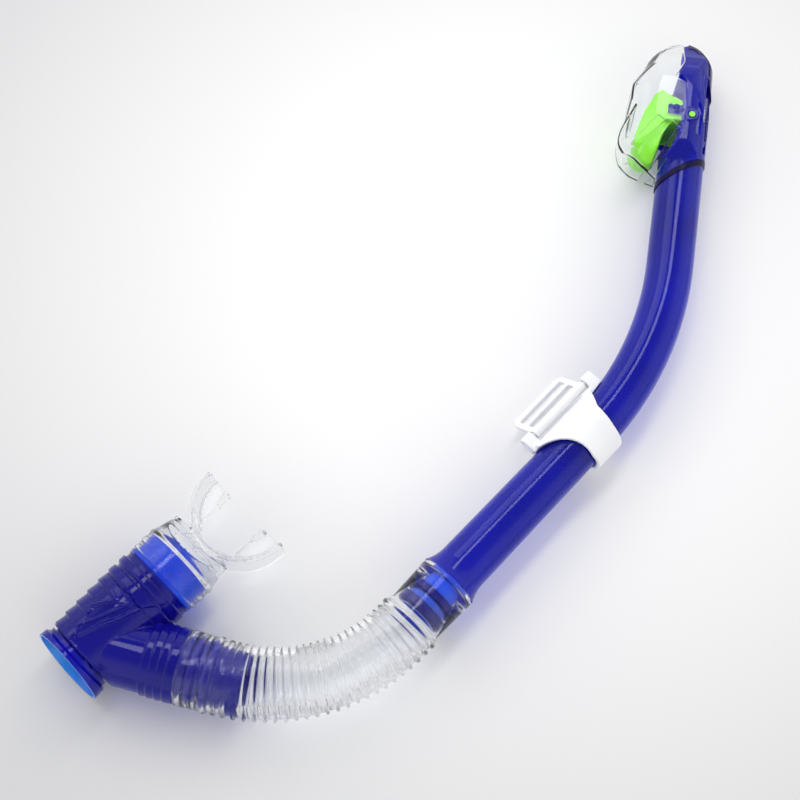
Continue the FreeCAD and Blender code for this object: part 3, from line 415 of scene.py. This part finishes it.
def make_hose():
    root, bore = middle_radii()
    upper_cuff = [(0.3, 15.2), (0.6, 15.5), (2.0, 15.7), (8.0, 15.4), (24.6, 14.9), (25.4, 14.95),
                  (26.2, 15.4), (27.5, 15.4), (27.8, 16.5), (28.2, 16.9), (29.2, 16.9), (29.6, 16.5),
                  (29.9, 15.4), (31.8, 15.4)]
    upper_bore = [(0.3, 11.3), (1.7, 11.35), (2.4, 12.0), (2.9, 13.8), (23.4, 13.8), (24.2, 14.0),
                  (32.0, 14.0)]
    upper_rows = [(HOSE_MIDDLE, bore), *upper_bore[::-1], *upper_cuff, *ridge_points(0, RIDGES // 2),
                  (HOSE_MIDDLE, root)]
    hose_half("hose_upper_half", upper_rows, 30.0, HOSE_MIDDLE - 7.0)
    edge = UPPER_STRAIGHT + HOSE_ARC
    lower_cuff = [(0.1, 17.1), (0.5, 18.3), (1.2, 18.5), (1.8, 18.3), (2.3, 17.3), (4.7, 17.3),
                  (5.1, 18.6), (5.6, 18.9), (6.8, 18.9), (7.3, 18.2), (12.0, 18.3), (19.4, 18.6),
                  (20.4, 18.4), (20.7, 18.0), (20.7, 15.6)]
    lower_bore = [(20.69, 15.55), (17.0, 15.55), (16.4, 17.1), (12.6, 17.1), (12.0, 15.55), (9.0, 15.55),
                  (8.4, 17.1), (4.6, 17.1), (4.0, 15.55), (0.6, 15.6)]
    lower_end = [(edge + length, radius) for length, radius in lower_cuff + lower_bore]
    lower_rows = [(HOSE_MIDDLE, root), *ridge_points(RIDGES // 2, RIDGES), *lower_end, (HOSE_MIDDLE, bore)]
    hose_half("hose_lower_half", lower_rows, HOSE_MIDDLE + 7.0, edge - 2.0)


# ---------------------------------------------------------------- purge chamber

CHAMBER_NECK = -63.0
NECK_RADIUS = 18.3
MOUTH_TAPER = 2.3 / 50.0
RIB_PITCH = 50.0 / 7
RIB_HEIGHT = 1.3
# ribs and chevrons stop here, so that the chamber stays clear of the table
BODY_LIMIT = 21.25
BRANCH_PLACE = Matrix.Translation((-32.7, -39.8, 0)) @ Matrix.Rotation(math.radians(120.0), 4, "Z")

# places along the branch and its outer radius there
BRANCH_STEPS = ((0.0, 4.4, 5.0, 8.4, 9.0, 12.4, 13.0, 16.4, 17.0, 60.0),
                (18.3, 18.7, 18.1, 18.7, 18.1, 18.7, 18.0, 18.4, 17.6, 17.6))

# raised lines as (millimetres along the axis, degrees round it from the top towards +y)
BODY_LINES = (
    ((-57.3, 5), (-49.2, -3), (-39.0, -16), (-28.2, -26), (-26.6, -2), (-25.3, 32)),
    ((-52.2, 13), (-44.4, 3), (-36.0, -6), (-29.9, -11), (-28.4, 11)),
    ((-44.3, 26), (-39.0, 14), (-34.3, 6), (-32.6, 23), (-31.6, 49)),
)
BRANCH_LINES = (
    ((33.4, 45), (41.1, 26), (47.2, 10), (45.6, 3), (39.3, -5), (32.2, -13)),
)
# where the ring-shaped ribs end, as degrees round the axis for places along it
RIB_ENDS = ((-63.0, -48.7, -41.6, -36.0, -30.0, -20.0), (8.0, 18.0, 20.0, 6.0, -24.0, -45.0))


def line_distance(points, lines, radius):
    """Distance over the skin from each point (x, degrees) to the nearest of the lines."""
    flat = np.column_stack((points[:, 0], np.radians(points[:, 1]) * radius))
    nearest = np.full(len(flat), 99.0)
    for line in lines:
        corners = [np.array((x, math.radians(degrees) * radius)) for x, degrees in line]
        for start, end in zip(corners, corners[1:]):
            run = end - start
            share = np.clip(((flat - start) @ run) / (run @ run), 0.0, 1.0)
            gap = np.linalg.norm(flat - start - share[:, None] * run, axis=1)
            nearest = np.minimum(nearest, gap)
    return nearest


def lifted_by_lines(degrees, local, lines, radius, height, width):
    """Extra radius of rounded beads that follow the lines."""
    near = line_distance(np.column_stack((local[:, 0], degrees)), lines, radius)
    return height * np.clip(1.0 - (near / width) ** 2, 0.0, 1.0)


def round_the_top(local):
    """Degrees round the x axis from the top, or from the underside for points below."""
    return np.degrees(np.arctan2(local[:, 1], np.abs(local[:, 2])))


def body_radius(local, degrees):
    """Outer radius of the chamber's body: a cone, stepped ribs on its far side, raised chevrons in front."""
    base = NECK_RADIUS + MOUTH_TAPER * (local[:, 0] - CHAMBER_NECK)
    phase = ((local[:, 0] - CHAMBER_NECK) / RIB_PITCH) % 1.0
    step = np.interp(phase, (0.0, 0.06, 0.86, 1.0), (0.25, 1.0, 0.2, 0.25)) * RIB_HEIGHT
    keep = np.clip((degrees - np.interp(local[:, 0], *RIB_ENDS)) / 4.0, 0.0, 1.0)
    beads = lifted_by_lines(degrees, local, BODY_LINES, NECK_RADIUS + 1.4, 1.4, 1.0)
    return np.minimum(base + 0.3 + (step - 0.1) * keep + beads, BODY_LIMIT)


def branch_radius(local, degrees):
    """Outer radius of the branch: four stepped rings next to the hose, then a plain tube."""
    rings = np.interp(local[:, 0], BRANCH_STEPS[0], BRANCH_STEPS[1])
    return rings + lifted_by_lines(degrees, local, BRANCH_LINES, 17.6, 1.0, 0.9)


def set_radius(local, radius, chosen):
    reach = np.maximum(np.hypot(local[:, 1], local[:, 2]), 1.0)
    local[:, 1:] *= np.where(chosen, radius / reach, 1.0)[:, None]


def make_chamber():
    piece = soft_copy("purge_chamber", "chamber_skin", 0.4, 2)
    local = local_points(piece, chamber_place)
    reach = np.hypot(local[:, 1], local[:, 2])
    base = NECK_RADIUS + MOUTH_TAPER * (local[:, 0] - CHAMBER_NECK)
    on_body = (local[:, 0] > -62.2) & (local[:, 0] < -14.2) & (np.abs(reach - base - 0.5) < 0.85)
    set_radius(local, body_radius(local, round_the_top(local)), on_body)
    local = in_place(local, BRANCH_PLACE.inverted())
    reach = np.hypot(local[:, 1], local[:, 2])
    near_tube = np.abs(reach - np.interp(local[:, 0], *BRANCH_STEPS)) < 0.5
    on_branch = (local[:, 0] > 0.6) & (local[:, 0] < 52.0) & near_tube & ~on_body
    set_radius(local, branch_radius(local, round_the_top(local)), on_branch)
    put_points(piece, in_place(local, BRANCH_PLACE), chamber_place)
    stand_for(piece, "purge_chamber", "chamber", navy)


def painted_copy(node, name, body, place, materials, choose):
    """CAD shape with a material per face, chosen from the face's centre and normal in a local frame."""
    piece = plain_copy(node, name)
    mesh = piece.data
    mesh.materials.clear()
    for material in materials:
        mesh.materials.append(material)
    inverse = place.inverted()
    for face in mesh.polygons:
        centre = inverse @ face.center
        face.material_index = choose(centre, (inverse @ (face.center + face.normal * MM)) - centre)
    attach(piece, body)
    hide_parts(node)


def guard_face(centre, outward):
    # faces inside the cup and its end face get the light blue painted light
    inward = outward.y * centre.y + outward.z * centre.z < -0.3 * math.hypot(centre.y, centre.z)
    return 1 if inward or outward.x < -0.8 else 0


def barrel_face(centre, outward):
    """Spigot inside the hose's cuff: painted light blue, painted light where the cuff lets light through,
    with its two barbs painted dark as painted shade.
    """
    reach = math.hypot(centre.y, centre.z)
    if centre.x > -0.5 or reach > 20.0:
        return 0
    # barbs get the painted shade, the rest of the spigot the lighter blue as painted light
    on_barb = -13.7 < centre.x < -9.0 or centre.x < -17.0
    return 1 if on_barb and reach > 10.95 else 2


def make_guard():
    """Purge guard from the CAD shape: dark outside, painted light blue where the cup's inside shows, painted
    light standing for light shining through the cup.
    """
    painted_copy("purge_guard", "purge_guard_cup", "chamber", chamber_place, (navy, inner_painted_light), guard_face)


def make_barrel():
    """Barrel from the CAD shape, its spigot painted lighter as painted light and the barbs of its spigot
    painted dark as painted shade.
    """
    painted_copy("barrel_tube", "barrel_tube_tinted", "barrel", barrel_place,
                 (blue, barb_painted_shade, bright_blue), barrel_face)


def make_collar():
    """Swivel collar: plug with its seal groove, step against the chamber, bright barrel and rounded lip."""
    profile = [(-21.6, 16.0), (-21.6, 17.85), (-18.6, 17.85), (-18.6, 16.65), (-16.0, 16.65),
               (-16.0, 17.85), (-12.7, 17.85), (-12.7, 20.6), (-10.8, 20.6), (-10.6, 19.35), (0.7, 19.35),
               (0.7, 17.2), (1.6, 17.0), (1.6, 16.0)]
    piece = lathe("collar_shell", profile, chamber_place)
    stand_for(piece, "swivel_collar", "mouth", bright_blue)


# ---------------------------------------------------------------- moulded pieces

def squeeze(piece, stations, factors):
    """Narrows a piece of the dry top along its length and draws its corners in at the tip."""
    local = local_points(piece, top_place)
    corner = np.clip((local[:, 0] - 48.0) / 34.0, 0.0, 1.0) * (local[:, 2] / 16.0) ** 2
    middle = local[:, 1] - 6.0
    local[:, 2] *= np.interp(local[:, 0], stations, factors)
    local[:, 0] -= 5.5 * corner
    local[:, 1] -= 0.42 * middle * corner
    put_points(piece, local, top_place)


def flatten_back(piece):
    """Draws the back of the dome in a little between its foot and its tip."""
    local = local_points(piece, top_place)
    behind = np.interp(local[:, 0], (38.0, 55.0, 80.0, 88.0), (1.0, 0.92, 0.88, 0.95))
    local[:, 1] *= np.where(local[:, 1] < 0, behind, 1.0)
    put_points(piece, local, top_place)


def make_dome():
    """Blue dome and the dark crescent along its back, both narrowing to a rounded tip."""
    for node, rounds, material in (("rear_dome", 14, blue), ("dome_trim", 2, trim)):
        piece = soft_copy(node, node + "_skin", 0.35, rounds)
        squeeze(piece, (50.0, 66.0, 76.0, 83.0, 89.0), (1.0, 0.93, 0.78, 0.55, 0.3))
        flatten_back(piece)
        stand_for(piece, node, "barrel", material)


# two opposite corners of each block cut from the housing's side walls, below and above the tabs
TAB_CUTS = (((24, 4.4, 12), (31.4, 14, 20)), ((36.8, 4.4, 12), (62, 14, 20)))
BLOCK_FACES = ((0, 1, 3, 2), (4, 6, 7, 5), (0, 4, 5, 1), (2, 3, 7, 6), (0, 2, 6, 4), (1, 5, 7, 3))


def make_housing():
    """Blue carrier of the dry top, its side walls cut back to slim tabs round the pegs."""
    corners = []
    faces = []
    for low, high in TAB_CUTS:
        for side in (-1, 1):
            first = len(corners)
            corners += [(x, y, side * z) for x, y, z in itertools.product(*zip(low, high))]
            faces += [tuple(first + index for index in face) for face in BLOCK_FACES]
    cutter = mesh_piece("tab_cutter", corners, faces, top_place)
    piece = soft_copy("dry_top_housing", "housing_skin", 0.4, 3, cutter)
    bpy.data.objects.remove(cutter)
    stand_for(piece, "dry_top_housing", "barrel", blue)


def make_cover():
    piece = soft_copy("splash_cover", "splash_cover_skin", 0.4, 9)
    squeeze(piece, (-6.0, 4.0, 16.0, 26.0, 55.0, 75.0, 88.0), (0.4, 0.62, 0.9, 1.0, 1.0, 0.8, 0.35))
    stand_for(piece, "splash_cover", "barrel", clear)


def make_moulded():
    for node, voxel, rounds, body, material in (
            ("mouthpiece", 0.5, 8, "mouth", silicone),
            ("keeper_band", 0.4, 6, "keeper", white),
            ("strap_frame", 0.35, 4, "strap_frame", white),
            ("float_lever", 0.5, 8, "float", green)):
        stand_for(soft_copy(node, node + "_skin", voxel, rounds), node, body, material)


make_hose()
make_chamber()
make_guard()
make_barrel()
make_collar()
make_housing()
make_dome()
make_cover()
make_moulded()


# ---------------------------------------------------------------- setting

def make_floor():
    """Sheet of pale paper, its colour painted brightest behind the middle and darker towards its near
    corners: a painted falloff of light, painted shade towards the corners.
    """
    bpy.ops.mesh.primitive_plane_add(size=6.0, location=(0, 0, -0.0002))
    floor = bpy.context.object
    floor.name = "floor"
    nodes = Nodes("paper_painted_falloff")
    away = nodes.add("ShaderNodeVectorMath", operation="DISTANCE")
    away.inputs[1].default_value = (0.07, 0.03, 0)
    nodes.link(nodes.where, away.inputs[0])
    # painted shade: the paper's colour darkens with distance from behind the middle, standing in for the
    # light falling off
    shade = nodes.ramp(away.outputs["Value"], (0.885, 0.885, 0.885), (0.63, 0.63, 0.64), 0.12, 0.36)
    nodes.link(shade, nodes.shader.inputs["Base Color"])
    nodes.shader.inputs["Roughness"].default_value = 0.6
    nodes.shader.inputs["Specular IOR Level"].default_value = 0.2
    floor.data.materials.append(nodes.material)


def make_camera():
    middle = (Vector(cad_low) + Vector(cad_high)) / 2
    aim = middle + Vector((-0.0009, -0.0255, 0))
    elevation = math.radians(70.0)
    distance = 0.722
    camera = bpy.data.objects.new("camera", bpy.data.cameras.new("camera"))
    camera.data.lens = 63.0
    camera.data.sensor_width = 36.0
    camera.location = aim + Vector((0, -math.cos(elevation), math.sin(elevation))) * distance
    camera.rotation_euler = (math.radians(90.0) - elevation, 0, 0)
    bpy.context.scene.collection.objects.link(camera)
    bpy.context.scene.camera = camera


def area_light(name, place, target, width, length, power, along=(0, 0, 1)):
    """Rectangular lamp facing its target, its length lying as nearly as it can along a direction."""
    light = bpy.data.objects.new(name, bpy.data.lights.new(name, "AREA"))
    light.data.shape = "RECTANGLE"
    light.data.size = width
    light.data.size_y = length
    light.data.energy = power
    back = (Vector(place) - Vector(target)).normalized()
    side = Vector(along).cross(back).normalized()
    turned = Matrix((side, back.cross(side), back)).transposed().to_4x4()
    turned.translation = Vector(place)
    light.matrix_world = turned
    bpy.context.scene.collection.objects.link(light)


def make_lights():
    """Bright walls all round under a dimmer ceiling, a narrow strip lamp and a soft key lamp."""
    world = bpy.data.worlds.new("studio")
    world.use_nodes = True
    tree = world.node_tree
    direction = tree.nodes.new("ShaderNodeTexCoord").outputs["Generated"]
    split = tree.nodes.new("ShaderNodeSeparateXYZ")
    tree.links.new(direction, split.inputs["Vector"])
    fade = tree.nodes.new("ShaderNodeMapRange")
    fade.interpolation_type = "SMOOTHSTEP"
    for name, value in (("From Min", 0.55), ("From Max", 0.9), ("To Min", 1.2), ("To Max", 0.42)):
        fade.inputs[name].default_value = value
    tree.links.new(split.outputs["Z"], fade.inputs["Value"])
    tree.links.new(fade.outputs["Result"], tree.nodes["Background"].inputs["Strength"])
    tree.nodes["Background"].inputs["Color"].default_value = (1.0, 1.0, 1.0, 1.0)
    bpy.context.scene.world = world
    area_light("strip", (0.03, 0.36, 0.95), (0.05, 0, 0), 0.18, 1.2, 3.4, barrel_direction)
    area_light("soft_key", (-0.75, 0.95, 1.3), (0, 0, 0), 0.9, 0.9, 4.0)


make_floor()
make_camera()
make_lights()
bpy.context.scene.view_settings.view_transform = "Standard"
